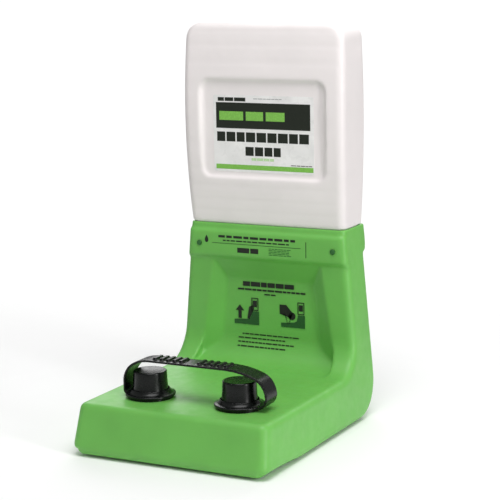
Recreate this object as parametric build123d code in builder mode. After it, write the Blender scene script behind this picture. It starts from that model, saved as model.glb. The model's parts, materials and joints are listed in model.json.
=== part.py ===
from build123d import *

import os
from math import atan, pi, tan

# Gravity-fed emergency eyewash station: a moulded L-shaped housing holds a saline cartridge
# above two upward spray nozzles, which two rubber caps on one pull strap keep clean.
# Millimetres, +Z up, the user stands at -Y, the station is symmetrical about X = 0.
# The origin is on the surface it stands on, under the middle of its outline.

# ---------------------------------------------------------------- driving dimensions
HALF_DEPTH = 177.5          # toe of the foot to the rim at the back is twice this
GROUND_GAP = 2.0            # height of the rubber feet
WALL = 4.0                  # wall of the housing
BASE_HALF_WIDTH = 140.0     # half width of the housing where its sides would meet Z = 0
SIDE_DRAFT = 0.0885         # how fast the sides lean in, per millimetre of height
FOOT_TOP = 66.5             # top of the low front part
RIM_TOP = 260.5             # top of the column, where the cartridge drops in
COLUMN_FRONT = 109.0        # front plane of the column
COLUMN_BACK = 170.0         # rear plane of the column
EDGE_R = 9.0                # rounding of the long outer edges

RECESS_BACK = 121.0         # back plane of the recess in the column
RECESS_TOP = 211.4          # its upper edge, which is also the header's lower edge
RECESS_BACK_TOP = 182.0     # upper edge of its back plane
RECESS_FLOOR = 50.0         # where its side edges would end inside the foot
RECESS_CURVE_R = 38.0       # its back runs into the foot's top in this curve
HEADER_FRONT = 105.0        # the header stands proud of the column
HEADER_TOP = 251.5
RIM_LEDGE = 233.0           # lower edge of the thicker rim at the back

NOZZLE_X = 64.5
NOZZLE_Y = -99.0
NOZZLE_PLACES = [(-NOZZLE_X, NOZZLE_Y), (NOZZLE_X, NOZZLE_Y)]
PIPE_Z = 28.0               # level of the water pipes in the foot
NOZZLE_R = 13.0
BARB_R = 7.0
HOSE_BORE_R = 7.1
HOSE_R = 10.0
PORT_R = 4.5                # water passage in the fittings

NECK_Y = 141.6              # axis of the cartridge's neck
PLUG_BOTTOM = 241.0         # underside of the cartridge's lower block
BOTTLE_TOP = 535.0
BOTTLE_MID = 395.0
BOTTLE_HALF_WIDTHS = (116.0, 120.0, 117.5)   # at its foot, its middle and its top
BOTTLE_FRONTS = (109.5, 100.0, 107.0)
BOTTLE_BACKS = (175.0, 176.5, 174.0)
BOTTLE_CORNER_R = 23.0
BOTTLE_EDGE_R = 10.0
BOTTLE_WALL = 2.0
FILL_LEVEL = 492.0          # 3.8 litres of saline
VENT_TOP = 515.0

CRADLE_TOP = 240.8
CRADLE_THICK = 3.5
SCREW_X = 101.0             # the two screws through the header
SCREW_Z = 231.5
SCREW_PLACES = [(-SCREW_X, SCREW_Z), (SCREW_X, SCREW_Z)]
SCREW_R = 2.0

CAP_BOTTOM = 68.1
CAP_TOP = 101.5
CAP_R = 24.1
RING_R = 32.5               # strap ring around each cap
STRAP_WIDTH = 30.0
STRAP_THICK = 3.0
STRAP_RING_Z = 69.7         # underside of the strap's rings

os.makedirs("parts", exist_ok=True)


def save(piece, name):
    """Label a finished piece and write it as one STEP file."""
    piece.label = name
    export_step(piece, f"parts/{name}.step")


def half_width(z):
    """Half width of the housing at height z."""
    return BASE_HALF_WIDTH - SIDE_DRAFT * z


def near(shapes, *point):
    """The shape whose centre is nearest to a point."""
    return shapes.sort_by_distance(Vector(*point))[0]


# ---------------------------------------------------------------- housing
TOE_R = 12.0                # upright corners of the foot
TOE_LEAN = 0.25             # the foot's front leans out as it goes down
INNER_R = 45.0              # concave curve between foot and column
HEEL_R = 55.0               # rounded heel under the column
toe_angle = (pi / 2 + atan(TOE_LEAN)) / 2
toe_corner = -HALF_DEPTH - EDGE_R * (tan(toe_angle) - 1)
foot_front = toe_corner + TOE_LEAN * (FOOT_TOP - GROUND_GAP)


def l_form(inset):
    """The closed L-shaped body of the housing, with every face moved in by inset."""
    with BuildPart() as form:
        with BuildSketch(Plane.YZ) as side:
            with BuildLine():
                Polyline(
                    (toe_corner, GROUND_GAP),
                    (foot_front, FOOT_TOP),
                    (COLUMN_FRONT, FOOT_TOP),
                    (COLUMN_FRONT, RIM_TOP),
                    (COLUMN_BACK, RIM_TOP),
                    (COLUMN_BACK, GROUND_GAP),
                    close=True,
                )
            make_face()
            fillet(near(side.vertices(), COLUMN_FRONT, FOOT_TOP), INNER_R)
            fillet(near(side.vertices(), COLUMN_BACK, GROUND_GAP), HEEL_R)
            offset(amount=-inset, mode=Mode.REPLACE)
        extrude(amount=BASE_HALF_WIDTH + 10, both=True)
        with BuildSketch(Plane.XZ):
            with BuildLine():
                Polyline(
                    (half_width(GROUND_GAP) - inset, GROUND_GAP + inset),
                    (half_width(RIM_TOP) - inset, RIM_TOP - inset),
                    (-half_width(RIM_TOP) + inset, RIM_TOP - inset),
                    (-half_width(GROUND_GAP) + inset, GROUND_GAP + inset),
                    close=True,
                )
            make_face()
        extrude(amount=HALF_DEPTH + 10, both=True, mode=Mode.INTERSECT)
        corners = form.edges().filter_by(lambda e: e.center().Y < foot_front + inset
                                         and abs(e.center().X) > 50)
        fillet(corners, TOE_R - inset)
        sides = form.faces().filter_by(lambda f: abs(f.normal_at().X) > 0.9)
        round_edges = sides.edges().filter_by(lambda e: e.center().Y > foot_front + 9
                                              and e.center().Z < RIM_TOP - inset - 1)
        across = form.edges().filter_by(Axis.X).filter_by(
            lambda e: e.center().Y < foot_front + inset + 1)
        fillet(round_edges + across, EDGE_R - inset)
    return form.part


outer_form = l_form(0)
cavity_form = l_form(WALL)


def recess_form(grow):
    """The space of the recess in the column: a frame of bevels in front of its back plane."""
    back = RECESS_BACK + grow
    lip = COLUMN_FRONT + grow
    curve_r = RECESS_CURVE_R + grow
    floor = FOOT_TOP - grow
    low = RECESS_FLOOR
    with BuildPart() as space:
        with BuildSketch(Plane.XZ.offset(-back)):
            with BuildLine():
                Polyline((66.5 + grow, RECESS_BACK_TOP + grow),
                         (-66.5 - grow, RECESS_BACK_TOP + grow),
                         (-79 - grow, low), (79 + grow, low), close=True)
            make_face()
        with BuildSketch(Plane.XZ.offset(-lip)):
            with BuildLine():
                Polyline((81.5 + grow, RECESS_TOP + grow), (-81.5 - grow, RECESS_TOP + grow),
                         (-106 - grow, low), (106 + grow, low), close=True)
            make_face()
        loft(ruled=True)
        extrude(near(space.faces(), 0, lip, 130), amount=lip - 55)
        with BuildSketch(Plane.YZ):
            with BuildLine():
                Line((50, 240), (50, floor))
                Line((50, floor), (back - curve_r, floor))
                TangentArc((back - curve_r, floor), (back, floor + curve_r), tangent=(1, 0))
                Line((back, floor + curve_r), (back, 240))
                Line((back, 240), (50, 240))
            make_face()
        extrude(amount=BASE_HALF_WIDTH, both=True, mode=Mode.INTERSECT)
    return space.part


recess = recess_form(0)
recess_backing = recess_form(WALL)

with BuildPart() as cavity:
    add(cavity_form)
    add(recess_backing, mode=Mode.SUBTRACT)


def across_housing(outline):
    """A side outline drawn across the housing and cut to its drafted width."""
    with BuildPart() as band:
        with BuildSketch(Plane.YZ):
            with BuildLine():
                Polyline(*outline, close=True)
            make_face()
        extrude(amount=BASE_HALF_WIDTH, both=True)
        with BuildSketch(Plane.XZ):
            with BuildLine():
                Polyline((half_width(0), 0), (half_width(RIM_TOP), RIM_TOP),
                         (-half_width(RIM_TOP), RIM_TOP), (-half_width(0), 0), close=True)
            make_face()
        extrude(amount=HALF_DEPTH + 10, both=True, mode=Mode.INTERSECT)
    return band


header = across_housing([
    (COLUMN_FRONT + EDGE_R, RECESS_TOP),
    (COLUMN_FRONT, RECESS_TOP),
    (HEADER_FRONT, RECESS_TOP + 3.5),
    (HEADER_FRONT, HEADER_TOP - 2.5),
    (HEADER_FRONT + 2.5, HEADER_TOP),
    (COLUMN_FRONT + EDGE_R, HEADER_TOP),
])
with header:
    front_corners = header.edges().filter_by(
        lambda e: abs(e.center().Y - HEADER_FRONT) < 0.5 and abs(e.center().X) > 50)
    fillet(front_corners, EDGE_R - 1)

rear_rim = across_housing([
    (COLUMN_BACK - EDGE_R, RIM_LEDGE - 9),
    (COLUMN_BACK, RIM_LEDGE - 9),
    (HALF_DEPTH, RIM_LEDGE),
    (HALF_DEPTH, RIM_TOP),
    (COLUMN_BACK - EDGE_R, RIM_TOP),
])
with rear_rim:
    rear_corners = rear_rim.edges().filter_by(
        lambda e: abs(e.center().Y - HALF_DEPTH) < 0.5 and abs(e.center().X) > 50)
    fillet(rear_corners, 5.0)

BASE_HALF_X = 115.0         # opening in the underside
BASE_FRONT = -138.0
BASE_REAR = 88.0
BASE_MID = (BASE_FRONT + BASE_REAR) / 2
BASE_LENGTH = BASE_REAR - BASE_FRONT
LEDGE = 8.0                 # ledge that the base plate is screwed to
BASE_SCREWS = [(side * (BASE_HALF_X - LEDGE / 2), BASE_MID + step * (BASE_LENGTH / 2 - 20))
               for side in (-1, 1) for step in (-1, 0, 1)]
PLATE_THICK = 3.0           # steel, heavy enough to keep the station from tipping back
plate_top = GROUND_GAP + PLATE_THICK

REAR_HALF_X = 90.0          # opening in the rear wall
REAR_LOW = 85.0
REAR_HIGH = 205.0
REAR_MID = (REAR_LOW + REAR_HIGH) / 2
REAR_SCREWS = [(side * (REAR_HALF_X + 5), REAR_MID + step * 45)
               for side in (-1, 1) for step in (-1, 1)]
COVER_THICK = 3.0
COVER_STEP = 2.0            # the rear cover lies in a shallow step

WELL_HALF_X = 112.5         # mouth that the cartridge drops into
WELL_FRONT = COLUMN_FRONT + WALL
WELL_BACK = COLUMN_BACK - WALL

with BuildPart() as shell:
    add(outer_form)
    add(header.part)
    add(rear_rim.part)
    add(recess, mode=Mode.SUBTRACT)
    add(cavity.part, mode=Mode.SUBTRACT)
    # mouth of the column
    with BuildSketch(Plane.XY.offset(RIM_TOP - WALL - 2)):
        with Locations((0, (WELL_FRONT + WELL_BACK) / 2)):
            RectangleRounded(2 * WELL_HALF_X, WELL_BACK - WELL_FRONT, 6)
    extrude(amount=20, mode=Mode.SUBTRACT)
    # ledge and opening for the base plate
    with BuildSketch(Plane.XY.offset(GROUND_GAP + 1)):
        with Locations((0, BASE_MID)):
            Rectangle(2 * (BASE_HALF_X + 8), BASE_LENGTH + 16)
            Rectangle(2 * (BASE_HALF_X - LEDGE), BASE_LENGTH - 2 * LEDGE, mode=Mode.SUBTRACT)
    extrude(amount=PLATE_THICK + 3)
    with BuildSketch(Plane.XY):
        with Locations((0, BASE_MID)):
            Rectangle(2 * BASE_HALF_X, BASE_LENGTH)
    extrude(amount=plate_top, mode=Mode.SUBTRACT)
    # rear opening with a step around it for the cover
    with BuildSketch(Plane.XZ.offset(-COLUMN_BACK - 1)):
        with Locations((0, REAR_MID)):
            Rectangle(2 * REAR_HALF_X + 20, REAR_HIGH - REAR_LOW + 20)
    extrude(amount=1 + COVER_STEP, mode=Mode.SUBTRACT)
    with BuildSketch(Plane.XZ.offset(-COLUMN_BACK - 1)):
        with Locations((0, REAR_MID)):
            RectangleRounded(2 * REAR_HALF_X, REAR_HIGH - REAR_LOW, 8)
    extrude(amount=WALL + 6, mode=Mode.SUBTRACT)
    # two rails that carry the cartridge cradle
    for side in (-1, 1):
        with BuildSketch(Plane.XY.offset(CRADLE_TOP - CRADLE_THICK - 8)):
            with Locations((side * (half_width(CRADLE_TOP) - WALL - 3), 140)):
                Rectangle(8, 40)
        extrude(amount=8 - 0.1)
    # holes for the two nozzles and the two header screws
    with BuildSketch(Plane.XY.offset(FOOT_TOP + 1)):
        with Locations(*NOZZLE_PLACES):
            Circle(NOZZLE_R + 0.3)
    extrude(amount=-WALL - 2, mode=Mode.SUBTRACT)
    with BuildSketch(Plane.XZ.offset(-HEADER_FRONT + 1)):
        with Locations(*SCREW_PLACES):
            Circle(SCREW_R + 0.1)
    extrude(amount=-12, mode=Mode.SUBTRACT)
    # screw holes for the base plate and the rear cover
    with BuildSketch(Plane.XY):
        with Locations(*BASE_SCREWS):
            Circle(2.05)
    extrude(amount=14, mode=Mode.SUBTRACT)
    with BuildSketch(Plane.XZ.offset(-COLUMN_BACK - 1)):
        with Locations(*REAR_SCREWS):
            Circle(1.55)
    extrude(amount=10, mode=Mode.SUBTRACT)
save(shell.part, "shell")

with BuildPart() as base_plate:
    with BuildSketch(Plane.XY.offset(GROUND_GAP)):
        with Locations((0, BASE_MID)):
            Rectangle(2 * BASE_HALF_X - 0.8, BASE_LENGTH - 0.8)
    extrude(amount=PLATE_THICK)
    with BuildSketch(Plane.XY.offset(GROUND_GAP)):
        with Locations(*BASE_SCREWS):
            Circle(4.0)
    extrude(amount=2.2, mode=Mode.SUBTRACT)
    with BuildSketch(Plane.XY):
        with Locations(*BASE_SCREWS):
            Circle(2.2)
    extrude(amount=10, mode=Mode.SUBTRACT)
save(base_plate.part, "base_plate")

with BuildPart() as base_screws:
    with BuildSketch(Plane.XY.offset(GROUND_GAP + 0.2)):
        with Locations(*BASE_SCREWS):
            Circle(3.6)
    extrude(amount=2)
    with BuildSketch(Plane.XY.offset(GROUND_GAP + 2.2)):
        with Locations(*BASE_SCREWS):
            Circle(2.0)
    extrude(amount=6.5)
save(base_screws.part, "base_screws")

FOOT_PAD_R = 9.0
REAR_PAD_Y = COLUMN_BACK - HEEL_R - FOOT_PAD_R - 0.5
FOOT_PLACES = [(side * 105, y) for side in (-1, 1) for y in (-152, REAR_PAD_Y)]
with BuildPart() as rubber_feet:
    with BuildSketch(Plane.XY):
        with Locations(*FOOT_PLACES):
            Circle(FOOT_PAD_R)
    extrude(amount=GROUND_GAP)
    chamfer(rubber_feet.edges().group_by(Axis.Z)[0], 0.5)
save(rubber_feet.part, "rubber_feet")

# ---------------------------------------------------------------- rear cover and wall fixing
WALL_BOLT_X = 120.0
WALL_BOLT_Z = 80.0
WALL_BOLT_R = 3.25
cover_face = COLUMN_BACK - COVER_STEP + COVER_THICK
with BuildPart() as rear_cover:
    with BuildSketch(Plane.XZ.offset(-cover_face)):
        with Locations((0, REAR_MID)):
            Rectangle(2 * REAR_HALF_X + 19.4, REAR_HIGH - REAR_LOW + 19.4)
    extrude(amount=COVER_THICK)
    with BuildSketch(Plane.XZ.offset(-cover_face)):
        with Locations(*REAR_SCREWS):
            Circle(1.7)
        with Locations((0, REAR_MID)):
            with GridLocations(WALL_BOLT_X, WALL_BOLT_Z, 2, 2):
                Circle(WALL_BOLT_R)
    extrude(amount=COVER_THICK, mode=Mode.SUBTRACT)
save(rear_cover.part, "rear_cover")

with BuildPart() as rear_cover_screws:
    with BuildSketch(Plane.XZ.offset(-cover_face - 1.8)):
        with Locations(*REAR_SCREWS):
            Circle(3.0)
    extrude(amount=1.8)
    with BuildSketch(Plane.XZ.offset(-cover_face)):
        with Locations(*REAR_SCREWS):
            Circle(1.5)
    extrude(amount=8)
save(rear_cover_screws.part, "rear_cover_screws")

# ---------------------------------------------------------------- cartridge cradle and probe
SOCKET_R = 23.5
SOCKET_BORE_R = 21.6
SOCKET_FLOOR = 206.5
SOCKET_BOTTOM = 203.6
PROBE_BOTTOM = 182.0
PROBE_TOP = 225.0
PROBE_BORE_R = 2.4
PROBE_SHANK_R = 6.0         # where it passes through the cradle's socket
PROBE_TIP_R = 4.0
cradle_bottom = CRADLE_TOP - CRADLE_THICK
with BuildPart() as cradle:
    with BuildSketch(Plane.XY.offset(cradle_bottom)):
        with Locations((0, (WELL_FRONT + WELL_BACK) / 2)):
            RectangleRounded(2 * (half_width(CRADLE_TOP) - WALL) - 2.4,
                             WELL_BACK - WELL_FRONT - 1, 8)
    extrude(amount=CRADLE_THICK)
    with BuildSketch(Plane.XY.offset(SOCKET_BOTTOM)):
        with Locations((0, NECK_Y)):
            Circle(SOCKET_R)
    extrude(until=Until.NEXT)
    # bosses that take the header screws
    with BuildSketch(Plane.XY.offset(SCREW_Z - 6)):
        with Locations((-SCREW_X, WELL_FRONT + 9), (SCREW_X, WELL_FRONT + 9)):
            Rectangle(13, 17)
    extrude(amount=cradle_bottom - SCREW_Z + 6)
    with BuildSketch(Plane.XY.offset(SOCKET_FLOOR)):
        with Locations((0, NECK_Y)):
            Circle(SOCKET_BORE_R)
    extrude(amount=50, mode=Mode.SUBTRACT)
    with BuildSketch(Plane.XY.offset(SOCKET_BOTTOM)):
        with Locations((0, NECK_Y)):
            Circle(PROBE_SHANK_R + 0.1)
    extrude(amount=10, mode=Mode.SUBTRACT)
    with BuildSketch(Plane.XZ.offset(-WELL_FRONT + 1)):
        with Locations(*SCREW_PLACES):
            Circle(3.5)
    extrude(amount=-15, mode=Mode.SUBTRACT)
save(cradle.part, "cradle")

with BuildPart() as header_screws:
    with BuildSketch(Plane.XZ.offset(-HEADER_FRONT)):
        with Locations(*SCREW_PLACES):
            Circle(3.6)
    extrude(amount=1.6)
    with BuildSketch(Plane.XZ.offset(-HEADER_FRONT)):
        with Locations(*SCREW_PLACES):
            Circle(SCREW_R)
    extrude(amount=-19)
    fillet(header_screws.edges().group_by(Axis.Y)[0], 1.0)
save(header_screws.part, "header_screws")

with BuildPart() as header_inserts:
    with BuildSketch(Plane.XZ.offset(-WELL_FRONT - 2)):
        with Locations(*SCREW_PLACES):
            Circle(3.45)
            Circle(SCREW_R + 0.05, mode=Mode.SUBTRACT)
    extrude(amount=-10)
save(header_inserts.part, "header_inserts")

with BuildPart() as probe:
    with BuildSketch(Plane.YZ):
        with BuildLine():
            Polyline(
                (NECK_Y + PROBE_BORE_R, PROBE_BOTTOM), (NECK_Y + BARB_R - 0.6, PROBE_BOTTOM),
                (NECK_Y + BARB_R, PROBE_BOTTOM + 4), (NECK_Y + BARB_R - 0.8, PROBE_BOTTOM + 5),
                (NECK_Y + BARB_R, PROBE_BOTTOM + 10), (NECK_Y + PROBE_SHANK_R, PROBE_BOTTOM + 11),
                (NECK_Y + PROBE_SHANK_R, SOCKET_FLOOR), (NECK_Y + 10, SOCKET_FLOOR),
                (NECK_Y + 10, SOCKET_FLOOR + 2.4), (NECK_Y + PROBE_TIP_R, SOCKET_FLOOR + 2.4),
                (NECK_Y + PROBE_TIP_R, PROBE_TOP - 5), (NECK_Y + PROBE_BORE_R, PROBE_TOP),
                close=True,
            )
        make_face()
    revolve(axis=Axis((0, NECK_Y, 0), (0, 0, 1)))
save(probe.part, "probe")

with BuildPart() as probe_nut:
    with BuildSketch(Plane.XY.offset(SOCKET_BOTTOM - 5)):
        with Locations((0, NECK_Y)):
            RegularPolygon(11, 6)
            Circle(PROBE_SHANK_R + 0.05, mode=Mode.SUBTRACT)
    extrude(amount=5)
save(probe_nut.part, "probe_nut")

with BuildPart() as probe_seal:
    with BuildSketch(Plane.YZ):
        with Locations((NECK_Y + 5.5, SOCKET_FLOOR + 3.2)):
            Circle(0.75)
    revolve(axis=Axis((0, NECK_Y, 0), (0, 0, 1)))
save(probe_seal.part, "probe_seal")

# ---------------------------------------------------------------- water pipes
HOSE_TOP = 197.0
TEE_INLET_END = NOZZLE_Y + 24
feed_run = HOSE_TOP - PIPE_Z
FEED_BEND_R = 0.45 * feed_run
with BuildPart() as feed_hose:
    with BuildLine() as feed_route:
        FilletPolyline((0, NECK_Y, HOSE_TOP), (0, NECK_Y, PIPE_Z),
                       (0, TEE_INLET_END, PIPE_Z), radius=FEED_BEND_R)
    with BuildSketch(Plane.XY.offset(HOSE_TOP)):
        with Locations((0, NECK_Y)):
            Circle(HOSE_R)
            Circle(HOSE_BORE_R, mode=Mode.SUBTRACT)
    sweep(path=feed_route.wires()[0])
print("feed hose bend radius", round(FEED_BEND_R, 1))
save(feed_hose.part, "feed_hose")

TEE_REACH = 29.0            # from the tee's middle to the end of each side spigot
TEE_STEM = 39.0
with BuildPart() as tee_fitting:
    for radius, mode in ((BARB_R, Mode.ADD), (PORT_R, Mode.SUBTRACT)):
        with BuildSketch(Plane.YZ):
            with Locations((NOZZLE_Y, PIPE_Z)):
                Circle(radius)
        extrude(amount=TEE_REACH, both=True, mode=mode)
        with BuildSketch(Plane.XZ.offset(-NOZZLE_Y)):
            with Locations((0, PIPE_Z)):
                Circle(radius)
        extrude(amount=-TEE_STEM, mode=mode)
save(tee_fitting.part, "tee_fitting")

BRANCH_START = 14.0
BRANCH_END = 46.0
for side, name in ((-1, "branch_hose_left"), (1, "branch_hose_right")):
    with BuildPart() as branch:
        with BuildSketch(Plane.YZ.offset(side * BRANCH_START)):
            with Locations((NOZZLE_Y, PIPE_Z)):
                Circle(HOSE_R)
                Circle(HOSE_BORE_R, mode=Mode.SUBTRACT)
        extrude(amount=side * (BRANCH_END - BRANCH_START))
    save(branch.part, name)

CLAMP_WIDTH = 8.0
with BuildPart() as hose_clamps:
    for x in (-40, -20, 20, 40):
        with BuildSketch(Plane.YZ.offset(x - CLAMP_WIDTH / 2)):
            with Locations((NOZZLE_Y, PIPE_Z)):
                Circle(HOSE_R + 1.2)
                with Locations((0, HOSE_R + 3)):
                    Rectangle(9, 5)
                Circle(HOSE_R + 0.05, mode=Mode.SUBTRACT)
        extrude(amount=CLAMP_WIDTH)
    with BuildSketch(Plane.XZ.offset(-TEE_INLET_END - 3)):
        with Locations((0, PIPE_Z)):
            Circle(HOSE_R + 1.2)
            with Locations((0, HOSE_R + 3)):
                Rectangle(9, 5)
            Circle(HOSE_R + 0.05, mode=Mode.SUBTRACT)
    extrude(amount=-CLAMP_WIDTH)
    with BuildSketch(Plane.XY.offset(HOSE_TOP - 11)):
        with Locations((0, NECK_Y)):
            Circle(HOSE_R + 1.2)
            with Locations((HOSE_R + 3, 0)):
                Rectangle(5, 9)
            Circle(HOSE_R + 0.05, mode=Mode.SUBTRACT)
    extrude(amount=CLAMP_WIDTH)
save(hose_clamps.part, "hose_clamps")

# ---------------------------------------------------------------- spray nozzles
NOZZLE_BOTTOM = 15.0
NOZZLE_TOP = 96.0
GASKET_THICK = 1.5
FLANGE_R = 19.0             # flange that clamps the gasket
HEAD_R = 17.5               # spray head
INSERT_R = 14.6             # spray insert let into the head
SCREEN_R = 12.1             # filter screen under it
CHAMBER_R = 10.0
gasket_top = FOOT_TOP + GASKET_THICK
for side, name in ((-1, "nozzle_left"), (1, "nozzle_right")):
    x = side * NOZZLE_X
    with BuildPart() as nozzle:
        with BuildSketch(Plane.XZ.offset(-NOZZLE_Y)):
            with BuildLine():
                Polyline(
                    (x, NOZZLE_BOTTOM),
                    (x + NOZZLE_R, NOZZLE_BOTTOM),
                    (x + NOZZLE_R, gasket_top),
                    (x + FLANGE_R, gasket_top),
                    (x + FLANGE_R, gasket_top + 3),
                    (x + HEAD_R - 3, gasket_top + 5),
                    (x + HEAD_R - 3, NOZZLE_TOP - 12),
                    (x + HEAD_R, NOZZLE_TOP - 8),
                    (x + HEAD_R, NOZZLE_TOP),
                    (x + INSERT_R + 0.1, NOZZLE_TOP),
                    (x + INSERT_R + 0.1, NOZZLE_TOP - 3),
                    (x + SCREEN_R + 0.1, NOZZLE_TOP - 3),
                    (x + SCREEN_R + 0.1, NOZZLE_TOP - 4),
                    (x + CHAMBER_R, NOZZLE_TOP - 4),
                    (x + CHAMBER_R, NOZZLE_BOTTOM + 3),
                    (x, NOZZLE_BOTTOM + 3),
                    close=True,
                )
            make_face()
        revolve(axis=Axis((x, NOZZLE_Y, 0), (0, 0, 1)))
        with BuildSketch(Plane.YZ.offset(side * (NOZZLE_X - 11))):
            with Locations((NOZZLE_Y, PIPE_Z)):
                Circle(BARB_R)
                Circle(PORT_R, mode=Mode.SUBTRACT)
        extrude(amount=-side * (NOZZLE_X - 11 - 31))
        with BuildSketch(Plane.YZ.offset(side * (NOZZLE_X - 5))):
            with Locations((NOZZLE_Y, PIPE_Z)):
                Circle(PORT_R)
        extrude(amount=-side * 12, mode=Mode.SUBTRACT)
    save(nozzle.part, name)

with BuildPart() as nozzle_gaskets:
    with BuildSketch(Plane.XY.offset(FOOT_TOP)):
        with Locations(*NOZZLE_PLACES):
            Circle(29.5)
            Circle(NOZZLE_R + 0.1, mode=Mode.SUBTRACT)
    extrude(amount=GASKET_THICK)
save(nozzle_gaskets.part, "nozzle_gaskets")

with BuildPart() as nozzle_nuts:
    with BuildSketch(Plane.XY.offset(FOOT_TOP - WALL)):
        with Locations(*NOZZLE_PLACES):
            RegularPolygon(20.5, 6)
            Circle(NOZZLE_R + 0.05, mode=Mode.SUBTRACT)
    extrude(amount=-7)
save(nozzle_nuts.part, "nozzle_nuts")

with BuildPart() as filter_screens:
    with BuildSketch(Plane.XY.offset(NOZZLE_TOP - 4)):
        with Locations(*NOZZLE_PLACES):
            Circle(SCREEN_R)
            with GridLocations(3.2, 3.2, 5, 5):
                Rectangle(2.2, 2.2, mode=Mode.SUBTRACT)
    extrude(amount=0.9)
save(filter_screens.part, "filter_screens")

with BuildPart() as spray_inserts:
    with BuildSketch(Plane.XY.offset(NOZZLE_TOP - 3)):
        with Locations(*NOZZLE_PLACES):
            Circle(INSERT_R)
    extrude(amount=3)
    with BuildSketch(Plane.XY.offset(NOZZLE_TOP - 3)):
        with Locations(*NOZZLE_PLACES):
            for ring_r, holes in ((4.5, 6), (9.5, 12)):
                with PolarLocations(ring_r, holes):
                    Circle(0.9)
    extrude(amount=3, mode=Mode.SUBTRACT)
save(spray_inserts.part, "spray_inserts")

# ---------------------------------------------------------------- caps and pull strap
for side, name in ((-1, "cap_left"), (1, "cap_right")):
    x = side * NOZZLE_X
    with BuildPart() as cap:
        with BuildSketch(Plane.XZ.offset(-NOZZLE_Y)):
            with BuildLine():
                Polyline(
                    (x + 19.4, CAP_BOTTOM), (x + 31.0, CAP_BOTTOM), (x + 31.0, STRAP_RING_Z - 0.1),
                    (x + CAP_R, STRAP_RING_Z - 0.1), (x + CAP_R, STRAP_RING_Z + 8.5),
                    (x + 22.2, CAP_TOP), (x, CAP_TOP), (x, CAP_TOP - 3),
                    (x + 18.2, CAP_TOP - 3), (x + 19.4, CAP_TOP - 6), close=True,
                )
            make_face()
        revolve(axis=Axis((x, NOZZLE_Y, 0), (0, 0, 1)))
        fillet(near(cap.edges(), x, NOZZLE_Y, CAP_TOP), 1.6)
    save(cap.part, name)

RING_TOP = STRAP_RING_Z + STRAP_THICK
RING_MID = STRAP_RING_Z + STRAP_THICK / 2
RING_BORE_R = CAP_R + 0.3
STRAP_START = NOZZLE_X + 25.0
RIB_PITCH = 9.5
RIB_HEIGHT = 2.8
with BuildPart() as pull_strap:
    # arch from the left ring over to the right ring; it bows out further on the right
    with BuildSketch(Plane.XZ.offset(-NOZZLE_Y)):
        with BuildLine() as arch:
            left_root = JernArc((-STRAP_START, RING_MID), (-1, 0), 5.5, -90)
            rise = Line(left_root @ 1, left_root @ 1 + Vector(0, 10.3, 0))
            left_bend = JernArc(rise @ 1, rise % 1, 27, -60)
            left_shoulder = JernArc(left_bend @ 1, left_bend % 1, 45, -30)
            crown_z = (left_shoulder @ 1).Y
            crown = Line(left_shoulder @ 1, (50, crown_z))
            right_shoulder = JernArc(crown @ 1, crown % 1, 120, -20)
            right_bend = JernArc(right_shoulder @ 1, right_shoulder % 1, 26, -70)
            hook = JernArc(right_bend @ 1, right_bend % 1, (right_bend @ 1).Y - RING_MID, -90)
            Line(hook @ 1, (STRAP_START, RING_MID))
        trace(line_width=STRAP_THICK)
    extrude(amount=STRAP_WIDTH / 2, both=True)
    # grip ribs in two groups along the crown
    with BuildSketch(Plane.XY.offset(crown_z)):
        for middle in (-33, 31):
            with Locations((middle, NOZZLE_Y)):
                with GridLocations(RIB_PITCH, 0, 5, 1):
                    RectangleRounded(5.5, 20, 1.5)
    extrude(amount=STRAP_THICK / 2 + RIB_HEIGHT)
    # flared ring at each end, with its bore around the cap
    for x in (-NOZZLE_X, NOZZLE_X):
        with BuildSketch(Plane.XZ.offset(-NOZZLE_Y)):
            with BuildLine():
                Line((x + 20, STRAP_RING_Z), (x + RING_R, STRAP_RING_Z))
                Line((x + RING_R, STRAP_RING_Z), (x + RING_R, RING_TOP))
                Line((x + RING_R, RING_TOP), (x + 31, RING_TOP))
                RadiusArc((x + 31, RING_TOP), (x + CAP_R + 0.8, RING_TOP + 5.5), 8)
                Line((x + CAP_R + 0.8, RING_TOP + 5.5), (x + 20, RING_TOP + 5.5))
                Line((x + 20, RING_TOP + 5.5), (x + 20, STRAP_RING_Z))
            make_face()
        revolve(axis=Axis((x, NOZZLE_Y, 0), (0, 0, 1)))
    with BuildSketch(Plane.XY.offset(STRAP_RING_Z)):
        with Locations(*NOZZLE_PLACES):
            Circle(RING_BORE_R)
    extrude(amount=10, mode=Mode.SUBTRACT)
save(pull_strap.part, "pull_strap")

# ---------------------------------------------------------------- saline cartridge
BODY_BOTTOM = RIM_TOP + 0.5
PANEL_HALF_X = 90.0         # label panel pressed into the bottle's front
PANEL_LOW = 327.0
PANEL_HIGH = 455.0
PANEL_MID = (PANEL_LOW + PANEL_HIGH) / 2
PANEL_Y = 106.0
PANEL_CORNER_R = 11.0
PANEL_BORDER_LEAN = 40.0    # degrees that the panel's border opens outward
PLUG_HALF_X = 111.5
NECK_R = 17.0
NECK_BOTTOM = 213.0
VENT_X = 9.0


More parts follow.
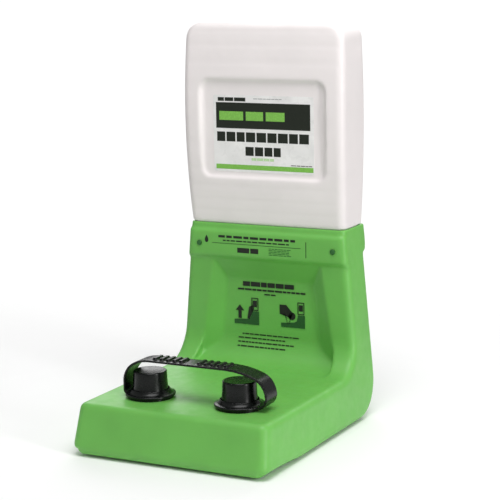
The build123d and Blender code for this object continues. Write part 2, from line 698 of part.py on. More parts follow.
def bottle_form(inset):
    """The bottle's block above the rim, crowned on its front and sides, moved in by inset."""
    low_x, mid_x, top_x = BOTTLE_HALF_WIDTHS
    low_front, mid_front, top_front = BOTTLE_FRONTS
    low_back, mid_back, top_back = BOTTLE_BACKS
    with BuildPart() as form:
        with BuildSketch(Plane.XZ) as front:
            with BuildLine():
                Line((-low_x, BODY_BOTTOM), (low_x, BODY_BOTTOM))
                ThreePointArc((low_x, BODY_BOTTOM), (mid_x, BOTTLE_MID), (top_x, BOTTLE_TOP))
                Line((top_x, BOTTLE_TOP), (-top_x, BOTTLE_TOP))
                ThreePointArc((-top_x, BOTTLE_TOP), (-mid_x, BOTTLE_MID), (-low_x, BODY_BOTTOM))
            make_face()
            fillet(front.vertices().group_by(Axis.Y)[-1], BOTTLE_CORNER_R)
            offset(amount=-inset, mode=Mode.REPLACE)
        extrude(amount=HALF_DEPTH + 30, both=True)
        with BuildSketch(Plane.YZ):
            with BuildLine():
                Line((low_front, BODY_BOTTOM), (low_back, BODY_BOTTOM))
                ThreePointArc((low_back, BODY_BOTTOM), (mid_back, BOTTLE_MID), (top_back, BOTTLE_TOP))
                Line((top_back, BOTTLE_TOP), (top_front, BOTTLE_TOP))
                ThreePointArc((top_front, BOTTLE_TOP), (mid_front, BOTTLE_MID), (low_front, BODY_BOTTOM))
            make_face()
            offset(amount=-inset, mode=Mode.REPLACE)
        extrude(amount=HALF_DEPTH, both=True, mode=Mode.INTERSECT)
        rims = form.edges().filter_by(lambda e: e.center().Z > BODY_BOTTOM + inset + 1)
        fillet(rims.filter_by(Axis.Y, reverse=True), BOTTLE_EDGE_R - inset)
        with BuildSketch(Plane.XZ.offset(-PANEL_Y - inset)):
            with Locations((0, PANEL_MID)):
                RectangleRounded(2 * (PANEL_HALF_X + inset),
                                 PANEL_HIGH - PANEL_LOW + 2 * inset, PANEL_CORNER_R + inset)
        extrude(amount=20, taper=-PANEL_BORDER_LEAN, mode=Mode.SUBTRACT)
        # block that drops into the column
        with BuildSketch(Plane.XY.offset(PLUG_BOTTOM + inset)):
            with Locations((0, (WELL_FRONT + WELL_BACK) / 2)):
                RectangleRounded(2 * (PLUG_HALF_X - inset),
                                 WELL_BACK - WELL_FRONT - 2 * (1 + inset), 8 - inset)
        extrude(amount=BODY_BOTTOM - PLUG_BOTTOM + 2)
    return form.part


with BuildPart() as bottle:
    add(bottle_form(0))
    with BuildSketch(Plane.XY.offset(NECK_BOTTOM)):
        with Locations((0, NECK_Y)):
            Circle(NECK_R)
    extrude(amount=PLUG_BOTTOM - NECK_BOTTOM + 1)
    with BuildSketch(Plane.XY.offset(229.5)):
        with Locations((0, NECK_Y)):
            Circle(NECK_R + 3)
    extrude(amount=2)
    add(bottle_form(BOTTLE_WALL), mode=Mode.SUBTRACT)
    with BuildSketch(Plane.XY.offset(NECK_BOTTOM)):
        with Locations((0, NECK_Y)):
            Circle(NECK_R - 3)
    extrude(amount=PLUG_BOTTOM - NECK_BOTTOM + 5, mode=Mode.SUBTRACT)
save(bottle.part, "bottle")

with BuildPart() as saline_fill:
    add(bottle_form(BOTTLE_WALL + 0.2))
    with BuildSketch(Plane.XY.offset(NECK_BOTTOM)):
        with Locations((0, NECK_Y)):
            Circle(NECK_R - 3.2)
    extrude(amount=PLUG_BOTTOM - NECK_BOTTOM + 5)
    with BuildSketch(Plane.XY.offset(FILL_LEVEL)):
        with Locations((0, NECK_Y)):
            Rectangle(300, 100)
    extrude(amount=BOTTLE_TOP - FILL_LEVEL, mode=Mode.SUBTRACT)
    with BuildSketch(Plane.XY.offset(NECK_BOTTOM)):
        with Locations((VENT_X, NECK_Y)):
            Circle(3.1)
    extrude(amount=300, mode=Mode.SUBTRACT)
    with BuildSketch(Plane.XY.offset(NECK_BOTTOM)):
        with Locations((0, NECK_Y)):
            Circle(4.2)
    extrude(amount=14, mode=Mode.SUBTRACT)
save(saline_fill.part, "saline_fill")

with BuildPart() as vent_tube:
    with BuildSketch(Plane.XY.offset(NECK_BOTTOM)):
        with Locations((VENT_X, NECK_Y)):
            Circle(3)
            Circle(2, mode=Mode.SUBTRACT)
    extrude(amount=VENT_TOP - NECK_BOTTOM)
save(vent_tube.part, "vent_tube")

OUTLET_BOTTOM = 209.2
SEAL_BOTTOM = 210.5
with BuildPart() as outlet_cap:
    with BuildSketch(Plane.XY.offset(OUTLET_BOTTOM)):
        with Locations((0, NECK_Y)):
            Circle(21.2)
    extrude(amount=228 - OUTLET_BOTTOM)
    with BuildSketch(Plane.XY.offset(SEAL_BOTTOM)):
        with Locations((0, NECK_Y)):
            Circle(NECK_R + 0.1)
    extrude(amount=30, mode=Mode.SUBTRACT)
    with BuildSketch(Plane.XY.offset(OUTLET_BOTTOM)):
        with Locations((0, NECK_Y)):
            Circle(8)
    extrude(amount=5, mode=Mode.SUBTRACT)
save(outlet_cap.part, "outlet_cap")

with BuildPart() as outlet_seal:
    with BuildSketch(Plane.XY.offset(SEAL_BOTTOM)):
        with Locations((0, NECK_Y)):
            Circle(NECK_R)
            Circle(4.05, mode=Mode.SUBTRACT)
    extrude(amount=NECK_BOTTOM - SEAL_BOTTOM)
save(outlet_seal.part, "outlet_seal")

# ---------------------------------------------------------------- labels
LABEL_THICK = 0.4
with BuildPart() as header_label:
    with BuildSketch(Plane.XZ.offset(-HEADER_FRONT)):
        with Locations((-15, SCREW_Z)):
            RectangleRounded(162, 30, 2)
    extrude(amount=LABEL_THICK)
save(header_label.part, "header_label")

with BuildPart() as bottle_label:
    with BuildSketch(Plane.XZ.offset(-PANEL_Y)):
        with Locations((0, 385)):
            RectangleRounded(150, 104, 3)
    extrude(amount=LABEL_THICK)
save(bottle_label.part, "bottle_label")

LABEL_BEND_R = 38.0         # the instruction label follows the recess down its curve
LABEL_BEND = 32.0
bend_y = RECESS_BACK - LABEL_BEND_R
bend_z = FOOT_TOP + LABEL_BEND_R
with BuildPart() as instruction_label:
    with BuildSketch(Plane.YZ):
        with BuildLine():
            skin = CenterArc((bend_y, bend_z), LABEL_BEND_R, 0, -LABEL_BEND)
            face = CenterArc((bend_y, bend_z), LABEL_BEND_R - LABEL_THICK, 0, -LABEL_BEND)
            Line(skin @ 0, (RECESS_BACK, 180))
            Line((RECESS_BACK, 180), (RECESS_BACK - LABEL_THICK, 180))
            Line((RECESS_BACK - LABEL_THICK, 180), face @ 0)
            Line(skin @ 1, face @ 1)
        make_face()
    extrude(amount=59, both=True)
save(instruction_label.part, "instruction_label")
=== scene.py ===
"""Looks of a gravity-fed eyewash station: moulded housing, saline bottle, caps on a pull strap."""

import json
import math
import random

import bmesh
import bpy
from mathutils import Matrix, Vector
from mathutils.bvhtree import BVHTree


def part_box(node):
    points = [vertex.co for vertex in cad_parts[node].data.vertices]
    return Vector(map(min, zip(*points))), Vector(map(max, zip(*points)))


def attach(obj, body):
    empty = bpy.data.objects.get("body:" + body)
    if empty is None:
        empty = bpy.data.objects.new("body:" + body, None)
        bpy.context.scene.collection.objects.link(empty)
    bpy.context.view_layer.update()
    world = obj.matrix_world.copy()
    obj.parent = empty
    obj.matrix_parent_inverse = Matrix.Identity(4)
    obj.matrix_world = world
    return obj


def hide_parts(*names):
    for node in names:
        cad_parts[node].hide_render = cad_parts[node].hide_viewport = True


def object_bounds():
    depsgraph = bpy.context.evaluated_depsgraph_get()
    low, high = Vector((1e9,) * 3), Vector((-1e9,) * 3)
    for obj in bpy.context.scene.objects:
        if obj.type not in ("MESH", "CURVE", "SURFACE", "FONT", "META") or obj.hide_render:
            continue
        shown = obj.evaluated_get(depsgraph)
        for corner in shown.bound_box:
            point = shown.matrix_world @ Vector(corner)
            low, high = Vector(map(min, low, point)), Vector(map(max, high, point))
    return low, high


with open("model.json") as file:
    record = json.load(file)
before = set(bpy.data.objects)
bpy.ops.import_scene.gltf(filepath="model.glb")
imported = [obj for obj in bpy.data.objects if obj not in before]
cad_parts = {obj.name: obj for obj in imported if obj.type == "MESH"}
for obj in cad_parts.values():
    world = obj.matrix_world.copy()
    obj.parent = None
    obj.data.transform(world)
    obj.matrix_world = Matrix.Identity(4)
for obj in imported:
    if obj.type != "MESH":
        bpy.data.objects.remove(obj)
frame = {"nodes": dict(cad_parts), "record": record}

MM = 0.001
cad_low, cad_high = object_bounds()
nodes = frame["nodes"]
draw = random.Random(7)


# ---------------------------------------------------------------- material helpers
class Paint:
    """A node material, with short calls for the patterns that the finishes share."""

    def __init__(self, name):
        self.material = bpy.data.materials.new(name)
        self.material.use_nodes = True
        self.tree = self.material.node_tree
        self.shader = self.tree.nodes["Principled BSDF"]
        self.place = self.add("ShaderNodeTexCoord").outputs["Object"]

    def add(self, kind, **settings):
        node = self.tree.nodes.new(kind)
        for key, value in settings.items():
            setattr(node, key, value)
        return node

    def link(self, a, b):
        self.tree.links.new(a, b)

    def set(self, **values):
        for key, value in values.items():
            self.shader.inputs[key.replace("_", " ")].default_value = value

    def noise(self, size, detail=3.0, roughness=0.5):
        """Noise whose features are about size metres across."""
        node = self.add("ShaderNodeTexNoise")
        node.inputs["Scale"].default_value = 1.0 / size
        node.inputs["Detail"].default_value = detail
        node.inputs["Roughness"].default_value = roughness
        self.link(self.place, node.inputs["Vector"])
        return node.outputs["Fac"]

    def spread(self, value, low, high, start=0.35, end=0.65):
        """A value brought from start..end to low..high."""
        node = self.add("ShaderNodeMapRange")
        self.link(value, node.inputs["Value"])
        for key, number in (("From Min", start), ("From Max", end), ("To Min", low), ("To Max", high)):
            node.inputs[key].default_value = number
        return node.outputs["Result"]

    def mix(self, share, a, b):
        """Colour a turning into b as share goes from 0 to 1."""
        node = self.add("ShaderNodeMix", data_type="RGBA")
        self.link(share, node.inputs["Factor"])
        for socket, colour in ((node.inputs["A"], a), (node.inputs["B"], b)):
            if isinstance(colour, tuple):
                socket.default_value = (*colour, 1.0)
            else:
                self.link(colour, socket)
        return node.outputs["Result"]

    def bump(self, height, depth, over=None):
        """Relief of a given depth in metres, laid over another relief."""
        node = self.add("ShaderNodeBump")
        node.inputs["Strength"].default_value = 1.0
        node.inputs["Distance"].default_value = depth
        self.link(height, node.inputs["Height"])
        if over is not None:
            self.link(over, node.inputs["Normal"])
        return node.outputs["Normal"]

    def edge_highlight(self):
        """Rises towards 1 on outer edges; the mask for a painted edge highlight."""
        pointiness = self.add("ShaderNodeNewGeometry").outputs["Pointiness"]
        return self.spread(pointiness, 0.0, 1.0, start=0.52, end=0.6)


def shade(colour, factor):
    return tuple(min(1.0, c * factor) for c in colour)


# ---------------------------------------------------------------- materials
GREEN = (0.150, 0.465, 0.085)
MILK = (0.86, 0.810, 0.805)


def green_polyethylene():
    """Moulded polyethylene: faint cloudiness, fine mould grain, and a painted highlight that makes the edges
    paler.
    """
    paint = Paint("green_polyethylene")
    cloud = paint.spread(paint.noise(0.055, 4.0), 0.0, 1.0, 0.3, 0.7)
    base = paint.mix(cloud, shade(GREEN, 0.95), shade(GREEN, 1.05))
    speck = paint.spread(paint.noise(0.0016, 2.0), 0.0, 0.16, 0.62, 0.8)
    base = paint.mix(speck, base, shade(GREEN, 1.5))
    # Painted highlight: outer edges lightened towards a paler green, standing in for top light caught on the
    # edges.
    base = paint.mix(paint.spread(paint.edge_highlight(), 0.0, 0.22, 0.0, 1.0), base, shade(GREEN, 1.7))
    paint.link(base, paint.shader.inputs["Base Color"])
    paint.link(paint.spread(paint.noise(0.012, 3.0), 0.38, 0.50), paint.shader.inputs["Roughness"])
    waves = paint.bump(paint.noise(0.030, 2.0), 0.0006)
    grain = paint.bump(paint.noise(0.0009, 3.0), 0.00005, over=waves)
    paint.link(grain, paint.shader.inputs["Normal"])
    paint.set(Specular_IOR_Level=0.45, Subsurface_Weight=0.06, Subsurface_Scale=0.004)
    return paint.material


def milky_polyethylene():
    """Blow-moulded bottle: milky, faintly cloudy, softly waved, with a fine grain."""
    paint = Paint("milky_polyethylene")
    cloud = paint.spread(paint.noise(0.08, 3.0), 0.0, 1.0, 0.3, 0.7)
    base = paint.mix(cloud, shade(MILK, 0.975), shade(MILK, 1.02))
    paint.link(base, paint.shader.inputs["Base Color"])
    paint.link(paint.spread(paint.noise(0.02, 3.0), 0.30, 0.42), paint.shader.inputs["Roughness"])
    waves = paint.bump(paint.noise(0.045, 2.0), 0.0008)
    grain = paint.bump(paint.noise(0.0012, 3.0), 0.00004, over=waves)
    paint.link(grain, paint.shader.inputs["Normal"])
    paint.set(Specular_IOR_Level=0.4)
    return paint.material


def satin_rubber():
    """Moulded black rubber with a satin skin and a little dust in its grain."""
    paint = Paint("satin_rubber")
    dust = paint.spread(paint.noise(0.010, 3.0, 0.5), 0.0, 0.3, 0.5, 0.8)
    base = paint.mix(dust, (0.003, 0.004, 0.0035), (0.009, 0.010, 0.009))
    paint.link(base, paint.shader.inputs["Base Color"])
    paint.link(paint.spread(paint.noise(0.006, 4.0), 0.22, 0.30), paint.shader.inputs["Roughness"])
    grain = paint.bump(paint.noise(0.0014, 2.0), 0.00001)
    paint.link(grain, paint.shader.inputs["Normal"])
    paint.set(Specular_IOR_Level=0.30)
    return paint.material


def moulded(name, colour, rough, grain_size=0.0012, grain_depth=0.00004, **settings):
    """Injection-moulded plastic with slight clouding and a fine grain."""
    paint = Paint(name)
    cloud = paint.spread(paint.noise(0.025, 3.0), 0.0, 1.0, 0.3, 0.7)
    paint.link(paint.mix(cloud, shade(colour, 0.93), shade(colour, 1.06)), paint.shader.inputs["Base Color"])
    paint.link(paint.spread(paint.noise(0.008, 3.0), rough - 0.05, rough + 0.06),
               paint.shader.inputs["Roughness"])
    paint.link(paint.bump(paint.noise(grain_size, 3.0), grain_depth), paint.shader.inputs["Normal"])
    paint.set(**settings)
    return paint.material


def brushed(name, colour, rough):
    """Metal with fine scratches drawn out along X."""
    paint = Paint(name)
    stretch = paint.add("ShaderNodeMapping")
    stretch.inputs["Scale"].default_value = (0.06, 1.0, 1.0)
    paint.link(paint.place, stretch.inputs["Vector"])
    paint.place = stretch.outputs["Vector"]
    scratch = paint.noise(0.0012, 4.0, 0.7)
    paint.link(paint.mix(paint.spread(scratch, 0.0, 1.0), shade(colour, 0.88), shade(colour, 1.08)),
               paint.shader.inputs["Base Color"])
    paint.link(paint.spread(scratch, rough - 0.06, rough + 0.08), paint.shader.inputs["Roughness"])
    paint.link(paint.bump(scratch, 0.00003), paint.shader.inputs["Normal"])
    paint.set(Metallic=1.0)
    return paint.material


def ink(name, colour):
    """Screen-printed ink, a little uneven in colour and gloss."""
    paint = Paint(name)
    thin = paint.spread(paint.noise(0.002, 3.0), 0.0, 1.0, 0.45, 0.8)
    paint.link(paint.mix(thin, colour, shade(colour, 1.3)), paint.shader.inputs["Base Color"])
    paint.link(paint.spread(paint.noise(0.004, 2.0), 0.40, 0.55), paint.shader.inputs["Roughness"])
    paint.set(Specular_IOR_Level=0.35)
    return paint.material


finish = {
    "green_plastic": green_polyethylene(),
    "bottle_plastic": milky_polyethylene(),
    "black_rubber": satin_rubber(),
    "dark_plastic": moulded("dark_grey_plastic", (0.035, 0.037, 0.037), 0.5),
    "fitting_plastic": moulded("natural_nylon", (0.72, 0.72, 0.68), 0.34, Subsurface_Weight=0.1,
                               Subsurface_Scale=0.003),
    "spray_plastic": moulded("white_plastic", (0.80, 0.80, 0.78), 0.26),
    "cap_plastic": moulded("blue_cap_plastic", (0.02, 0.09, 0.36), 0.30),
    "saline": moulded("saline", (0.78, 0.86, 0.88), 0.12),
    "hose": moulded("grey_hose", (0.50, 0.52, 0.51), 0.32),
    "steel": brushed("brushed_steel", (0.58, 0.58, 0.60), 0.34),
    "brass": brushed("brass", (0.62, 0.43, 0.17), 0.32),
    "green_screw": moulded("green_screw_plastic", (0.020, 0.130, 0.022), 0.42),
}
slot_of = {part["node"]: part["material_slot"] for part in frame["record"]["subparts"]}


def dress(obj, material):
    obj.data.materials.clear()
    obj.data.materials.append(material)


for name, node in nodes.items():
    if slot_of[name] in finish:
        dress(node, finish[slot_of[name]])


# ---------------------------------------------------------------- mesh helpers
def piece_of(name, mesh, body, *stands_for, slot=None):
    """A finished mesh as a piece on a body, in place of CAD nodes."""
    obj = bpy.data.objects.new(name, mesh)
    bpy.context.collection.objects.link(obj)
    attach(obj, body)
    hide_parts(*stands_for)
    if slot:
        dress(obj, finish[slot])
    return obj


def evaluated_mesh(source, *modifiers):
    """A new mesh: the source mesh with modifiers, given as (kind, settings), applied."""
    carrier = bpy.data.objects.new("carrier", source)
    bpy.context.collection.objects.link(carrier)
    for kind, settings in modifiers:
        modifier = carrier.modifiers.new(kind, kind)
        for key, value in settings.items():
            setattr(modifier, key, value)
    shape = carrier.evaluated_get(bpy.context.evaluated_depsgraph_get())
    mesh = bpy.data.meshes.new_from_object(shape)
    bpy.data.objects.remove(carrier)
    return mesh


def softened(node_name, voxel, rounds, share=1.0, reshape=None):
    """A node's form with its edges melted as moulding leaves them, kept within its own box."""
    source = nodes[node_name].data.copy()
    if source.has_custom_normals:
        source.normals_split_custom_set([(0, 0, 0)] * len(source.loops))
    melted = evaluated_mesh(source, ("REMESH", {"mode": "VOXEL", "voxel_size": voxel}),
                            ("SMOOTH", {"factor": 0.5, "iterations": rounds}))
    low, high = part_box(node_name)
    for vertex in melted.vertices:
        if reshape:
            vertex.co = reshape(vertex.co, low, high)
        vertex.co = Vector(max(a, min(b, c)) for a, b, c in zip(low, high, vertex.co))
    if share < 1.0:
        melted = evaluated_mesh(melted, ("DECIMATE", {"ratio": share}))
    melted.shade_smooth()
    return melted


# ---------------------------------------------------------------- housing and bottle
def round_toe(point, low, high):
    """Rounds the lower front corners of the foot, fading out along its sides."""
    corner_r, side_lean, start, end = 16 * MM, 2 * MM, -0.150, -0.060
    fade = max(0.0, min(1.0, (end - point.y) / (end - start)))
    fade = fade * fade * (3 - 2 * fade)
    side = math.copysign(1.0, point.x)
    centre = Vector((side * (high.x - side_lean - corner_r), low.z + corner_r))
    away = Vector((point.x - centre.x, point.z - centre.y))
    if away.x * side <= 0 or away.y >= 0 or fade == 0:
        return point
    rounded = centre + away * max(abs(away.x), abs(away.y)) / away.length
    target = Vector((rounded.x, point.y, rounded.y))
    return point.lerp(target, fade)


def make_housing():
    mesh = softened("shell", voxel=1.9 * MM, rounds=9, share=0.42, reshape=round_toe)
    piece_of("housing", mesh, "station", "shell", slot="green_plastic")


def make_bottle():
    mesh = softened("bottle", voxel=1.7 * MM, rounds=14, share=0.5)
    piece_of("saline_bottle", mesh, "cartridge", "bottle", slot="bottle_plastic")


# ---------------------------------------------------------------- caps and strap
def lathe(name, profile, centre, segments=96):
    """An outline of (radius, height) that starts and ends on its vertical axis, turned about it."""
    on_axis = 1e-6
    mesh = bpy.data.meshes.new(name)
    form = bmesh.new()
    rings = []
    for radius, height in profile:
        if radius < on_axis:
            rings.append([form.verts.new((centre.x, centre.y, height))])
        else:
            rings.append([form.verts.new((centre.x + radius * math.cos(turn),
                                          centre.y + radius * math.sin(turn), height))
                          for turn in (math.tau * i / segments for i in range(segments))])
    for ring, after in zip(rings, rings[1:]):
        for i in range(segments):
            j = (i + 1) % segments
            near = [ring[0]] if len(ring) == 1 else [ring[i], ring[j]]
            far = [after[0]] if len(after) == 1 else [after[j], after[i]]
            form.faces.new(near + far)
    bmesh.ops.recalc_face_normals(form, faces=form.faces)
    form.to_mesh(mesh)
    form.free()
    mesh.shade_smooth()
    return mesh


def bezier(a, b, c, steps):
    """Points on a quadratic curve from a to c, pulled towards b."""
    return [a.lerp(b, t).lerp(b.lerp(c, t), t) for t in (i / steps for i in range(steps + 1))]


def make_cap(node_name):
    """Dust cap: dished top, rolled rim, waisted side that flares into its foot."""
    low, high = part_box(node_name)
    centre = (low + high) / 2
    crown_r, waist_r, foot_r = 21.6 * MM, 22.2 * MM, 24.0 * MM
    flange_r, bore_r = 30.9 * MM, 19.3 * MM
    foot, top = low.z, high.z
    rim = 2.2 * MM
    outline = [Vector((0.0, top - 0.9 * MM)), Vector((crown_r * 0.55, top - 0.8 * MM)),
               Vector((crown_r - rim * 2.2, top - 0.25 * MM))]
    outline += bezier(Vector((crown_r - rim, top)), Vector((crown_r, top)),
                      Vector((crown_r, top - rim)), 6)
    outline += bezier(Vector((waist_r - 0.3 * MM, top - 9 * MM)),
                      Vector((waist_r + 0.2 * MM, foot + 11 * MM)),
                      Vector((foot_r, foot + 3.2 * MM)), 10)
    outline += bezier(Vector((29.6 * MM, foot + 1.5 * MM)), Vector((flange_r, foot + 1.5 * MM)),
                      Vector((flange_r, foot + 0.7 * MM)), 3)
    outline += [Vector((30.4 * MM, foot)), Vector((19.6 * MM, foot))]
    outline += bezier(Vector((bore_r, foot + 1 * MM)), Vector((bore_r, top - 3.4 * MM)),
                      Vector((17.0 * MM, top - 3.3 * MM)), 5)
    outline += [Vector((0.0, top - 3.3 * MM))]
    mesh = lathe(node_name + "_form", [tuple(point) for point in outline], centre)
    piece_of("dust_" + node_name, mesh, "strap_and_caps", node_name, slot="black_rubber")


def make_strap():
    mesh = softened("pull_strap", voxel=0.75 * MM, rounds=6, share=0.6)
    piece_of("rubber_strap", mesh, "strap_and_caps", "pull_strap", slot="black_rubber")


make_housing()
make_bottle()
make_cap("cap_left")
make_cap("cap_right")
make_strap()


# ---------------------------------------------------------------- print
def face_of(node_name):
    """How far forward a label's face lies at each height, seen from in front."""
    low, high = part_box(node_name)
    mesh = nodes[node_name].data
    tree = BVHTree.FromPolygons([vertex.co for vertex in mesh.vertices],
                                [face.vertices for face in mesh.polygons])

    def front(z):
        hit = tree.ray_cast(Vector(((low.x + high.x) / 2, low.y - 1.0, z)), Vector((0, 1, 0)))[0]
        return hit.y if hit else high.y
    return front


class Print:
    """Ink shapes laid on a label's front, drawn in millimetres across and up."""

    def __init__(self, front, thick=0.12 * MM):
        self.form = bmesh.new()
        self.front, self.thick = front, thick

    def patch(self, *corners):
        """A thin slab of ink with these corners, (x, z) in millimetres."""
        faces = []
        for depth in (0.0, -self.thick):
            faces.append([self.form.verts.new((x * MM, self.front(z * MM) + depth, z * MM))
                          for x, z in corners])
        self.form.faces.new(faces[0])
        self.form.faces.new(list(reversed(faces[1])))
        count = len(corners)
        for i in range(count):
            j = (i + 1) % count
            self.form.faces.new((faces[0][j], faces[0][i], faces[1][i], faces[1][j]))

    def bar(self, left, right, low, high):
        self.patch((left, low), (right, low), (right, high), (left, high))

    def disc(self, x, z, r, steps=28):
        self.patch(*[(x + r * math.cos(math.tau * i / steps), z + r * math.sin(math.tau * i / steps))
                     for i in range(steps)])

    def words(self, left, right, middle, height, shortest=4.0, longest=13.0, gap=1.6):
        """A row of solid dashes of uneven length, as words look from afar."""
        x = left
        while x < right - shortest:
            end = min(right, x + draw.uniform(shortest, longest))
            self.bar(x, end, middle - height / 2, middle + height / 2)
            x = end + gap

    def piece(self, name, body, material, *stands_for, slot=None):
        bmesh.ops.recalc_face_normals(self.form, faces=self.form.faces)
        mesh = bpy.data.meshes.new(name)
        self.form.to_mesh(mesh)
        self.form.free()
        obj = piece_of(name, mesh, body, *stands_for)
        dress(obj, material)


black_ink = ink("black_ink", (0.012, 0.016, 0.010))
dark_green_ink = ink("dark_green_ink", (0.018, 0.090, 0.020))
lime_ink = ink("lime_ink", (0.200, 0.480, 0.080))
pale_ink = ink("pale_lime_ink", (0.480, 0.680, 0.380))
grey_ink = ink("grey_ink", (0.30, 0.30, 0.30))


def make_header_print():
    """Two rows of words with a drop mark, a rule, a row of large words and a small block."""
    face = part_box("header_label")[1].y
    sheet = Print(lambda z: face)
    sheet.patch(*[(-89.5 + 3.6 * math.sin(t) * math.sin(t / 2), 238 + 5.2 * math.cos(t))
                  for t in (math.tau * i / 30 for i in range(30))])
    sheet.words(-71, 46, 242.4, 3.4, 7, 17, 2.2)
    sheet.words(-64, 38, 237.0, 1.9, 4, 11, 1.4)
    sheet.bar(-81, 54, 232.6, 233.3)
    sheet.words(-42, -3, 224.6, 7.0, 9, 20, 1.6)
    sheet.bar(61.4, 62.4, 220.5, 242)
    sheet.piece("header_print_black", "station", black_ink, "header_label", slot="header_print")
    small = Print(lambda z: face)
    for row in range(5):
        small.words(6, 40 - 3 * (row % 2), 229.4 - 2.1 * row, 0.9, 3, 8, 0.9)
    small.piece("header_print_green", "station", dark_green_ink)


def make_bottle_print():
    """White film with a black band, two rows of large words and a green bar at its foot."""
    low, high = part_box("bottle_label")
    ink_room = 0.14 * MM
    film = Print(lambda z: high.y, thick=high.y - low.y - ink_room)
    radius, corners = 3.0, []
    for x, z, start in ((75, 437, 0), (-75, 437, 90), (-75, 333, 180), (75, 333, 270)):
        for i in range(7):
            turn = math.radians(start + 15 * i)
            corners.append((x - math.copysign(radius, x) + radius * math.cos(turn),
                            z - math.copysign(radius, z - 385) + radius * math.sin(turn)))
    film.patch(*corners)
    film.piece("label_film", "cartridge", label_film, "bottle_label", slot="bottle_print")
    level = low.y + ink_room
    black = Print(lambda z: level)
    black.words(-68, -22, 431.3, 5.0, 8, 20, 1.2)
    black.bar(-71, 70, 392, 427)
    black.words(-70, 71, 380.6, 13.0, 12, 15, 2.0)
    black.words(-27, 26, 361.5, 12.0, 10, 14, 2.0)
    black.words(41, 72, 344.6, 1.0, 3, 8, 0.8)
    black.piece("bottle_print_black", "cartridge", black_ink)
    green = Print(lambda z: level)
    green.bar(-72, 74, 336.3, 342.8)
    green.piece("bottle_print_green", "cartridge", lime_ink)
    pale = Print(lambda z: level)
    pale.words(-18, 17, 350.8, 3.6, 5, 9, 0.9)
    pale.piece("bottle_print_pale", "cartridge", pale_ink)
    grey = Print(lambda z: level)
    grey.words(-14, 30, 432.6, 0.9, 4, 9, 0.8)
    grey.piece("bottle_print_grey", "cartridge", grey_ink)
    band_level = level - black.thick
    light = Print(lambda z: band_level, thick=0.02 * MM)
    light.words(-66, 60, 409.0, 12.0, 24, 40, 4.0)
    light.piece("bottle_print_lime", "cartridge", lime_ink)


def station_sign(black, green, x, z, size):
    """A small picture of the station from the side: bottle, column and foot."""
    def at(*points):
        return [(x + u * size, z + v * size) for u, v in points]
    green.patch(*at((0.55, 0.0), (1.0, 0.0), (1.0, 0.5), (0.72, 0.5), (0.66, 0.26), (0.55, 0.2)))
    green.patch(*at((0.0, 0.0), (0.55, 0.0), (0.55, 0.2), (0.0, 0.16)))
    black.patch(*at((0.70, 0.53), (0.98, 0.53), (0.98, 0.56), (0.70, 0.56)))
    black.patch(*at((0.70, 0.97), (0.98, 0.97), (0.98, 1.0), (0.70, 1.0)))
    black.patch(*at((0.70, 0.56), (0.73, 0.56), (0.73, 0.97), (0.70, 0.97)))
    black.patch(*at((0.95, 0.56), (0.98, 0.56), (0.98, 0.97), (0.95, 0.97)))
    black.patch(*at((0.76, 0.66), (0.92, 0.66), (0.92, 0.90), (0.76, 0.90)))


def make_instruction_print():
    """Title, two pictograms of the station and four rows of small words."""
    front = face_of("instruction_label")
    black = Print(front, thick=0.3 * MM)
    green = Print(front, thick=0.3 * MM)
    black.words(-42, 43, 175.4, 6.4, 8, 15, 1.5)
    black.words(-50, 54, 167.6, 2.4, 4, 11, 1.3)
    black.words(-9, 13, 162.0, 1.8, 6, 10, 1.5)
    station_sign(black, green, -56, 118, 38)
    black.patch((-50, 126), (-45, 126), (-45, 137), (-41, 137), (-47.5, 145), (-54, 137), (-50, 137))
    black.patch((-36, 127), (-33, 125.4), (-25.5, 141), (-27, 146), (-33, 143))
    station_sign(black, green, 16, 119, 36)
    black.patch((14, 150), (24, 150), (34, 139), (31, 131), (25, 134), (14, 137))
    black.disc(32.5, 135, 5.4)
    for turn in range(9):
        t = turn / 8
        for way in (-1, 1):
            green.disc(27 + way * (1.5 + 5 * t), 125 + 12 * t * (2 - t), 0.8, 10)
    for row, right in enumerate((44, 24, 39, 26)):
        black.words(-50 if row else -44, right, 104.5 - 5.6 * row, 1.5, 3, 10, 1.3)
    black.piece("instruction_print_black", "station", black_ink, "instruction_label",
                slot="instruction_print")
    green.piece("instruction_print_green", "station", dark_green_ink)


label_film = moulded("label_film", (0.84, 0.83, 0.82), 0.30)
make_header_print()
make_bottle_print()
make_instruction_print()


# ---------------------------------------------------------------- camera, light and floor
def make_camera():
    """A long lens a little above the station, from the front right."""
    azimuth, elevation, roll = (math.radians(a) for a in (27.18, 10.22, -0.96))
    distance = 2.149
    aim = (cad_low + cad_high) / 2 + Vector((0.0268, 0.0093, -0.0220))
    back = Vector((math.sin(azimuth) * math.cos(elevation),
                   -math.cos(azimuth) * math.cos(elevation), math.sin(elevation)))
    data = bpy.data.cameras.new("camera")
    data.lens = 119.07
    data.sensor_width = 36.0
    camera = bpy.data.objects.new("camera", data)
    bpy.context.collection.objects.link(camera)
    right = (-back).cross(Vector((0, 0, 1))).normalized()
    up = right.cross(-back)
    turned = right * math.cos(roll) + up * math.sin(roll)
    upright = back.cross(turned)
    place = Matrix((turned, upright, back)).transposed().to_4x4()
    place.translation = aim + back * distance
    camera.matrix_world = place
    bpy.context.scene.camera = camera


def area_light(name, azimuth, elevation, distance, size, power):
    """A softbox at an angle around the station, turned towards its middle."""
    data = bpy.data.lights.new(name, "AREA")
    data.shape = "RECTANGLE"
    data.size, data.size_y = size
    data.energy = power
    light = bpy.data.objects.new(name, data)
    bpy.context.collection.objects.link(light)
    a, e = math.radians(azimuth), math.radians(elevation)
    back = Vector((math.sin(a) * math.cos(e), -math.cos(a) * math.cos(e), math.sin(e)))
    light.location = (cad_low + cad_high) / 2 + back * distance
    light.rotation_mode = "QUATERNION"
    light.rotation_quaternion = (-back).to_track_quat("-Z", "Y")


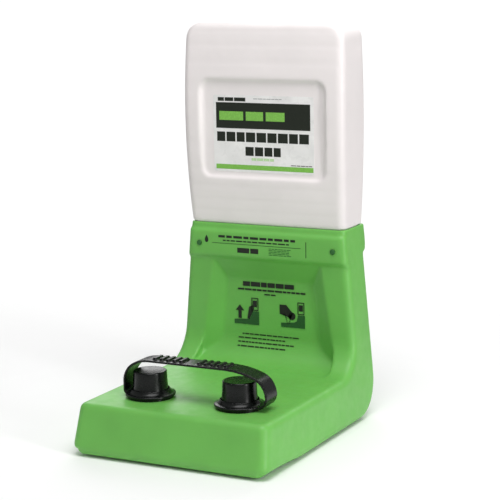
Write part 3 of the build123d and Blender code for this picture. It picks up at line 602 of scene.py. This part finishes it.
def make_world(strength, seen_strength):
    """White surroundings, dimmer as a light than they look to the camera."""
    world = bpy.data.worlds.new("studio")
    bpy.context.scene.world = world
    world.use_nodes = True
    tree = world.node_tree
    output = tree.nodes["World Output"]
    lit = tree.nodes["Background"]
    lit.inputs["Color"].default_value = (1, 1, 1, 1)
    lit.inputs["Strength"].default_value = strength
    seen = tree.nodes.new("ShaderNodeBackground")
    seen.inputs["Color"].default_value = (1, 1, 1, 1)
    seen.inputs["Strength"].default_value = seen_strength
    path = tree.nodes.new("ShaderNodeLightPath")
    choose = tree.nodes.new("ShaderNodeMixShader")
    tree.links.new(path.outputs["Is Camera Ray"], choose.inputs["Fac"])
    tree.links.new(lit.outputs["Background"], choose.inputs[1])
    tree.links.new(seen.outputs["Background"], choose.inputs[2])
    tree.links.new(choose.outputs["Shader"], output.inputs["Surface"])


def fade_out(paint):
    """The floor runs into the white surroundings well away from the station."""
    distance = paint.add("ShaderNodeVectorMath", operation="LENGTH")
    paint.link(paint.place, distance.inputs[0])
    gone = paint.spread(distance.outputs["Value"], 1.0, 0.0, start=0.45, end=1.3)
    paint.link(gone, paint.shader.inputs["Alpha"])


def make_floor():
    """A pale round floor under the station."""
    mesh = bpy.data.meshes.new("floor")
    form = bmesh.new()
    bmesh.ops.create_circle(form, cap_ends=True, segments=96, radius=6.0)
    form.to_mesh(mesh)
    form.free()
    floor = bpy.data.objects.new("floor", mesh)
    bpy.context.collection.objects.link(floor)
    paint = Paint("floor")
    faint = paint.spread(paint.noise(0.4, 3.0), 0.0, 1.0, 0.3, 0.7)
    paint.link(paint.mix(faint, (0.93, 0.93, 0.93), (0.95, 0.95, 0.95)),
               paint.shader.inputs["Base Color"])
    paint.set(Roughness=0.8, Specular_IOR_Level=0.1)
    fade_out(paint)
    mesh.materials.append(paint.material)


make_camera()
make_world(0.33, seen_strength=1.05)
area_light("top_softbox", 38, 70, 1.5, (1.1, 1.1), 19)
area_light("right_softbox", 72, 9, 2.0, (0.24, 1.2), 15)
area_light("back_softbox", 200, 28, 2.2, (2.4, 1.2), 24)
make_floor()
bpy.context.scene.view_settings.view_transform = "Standard"
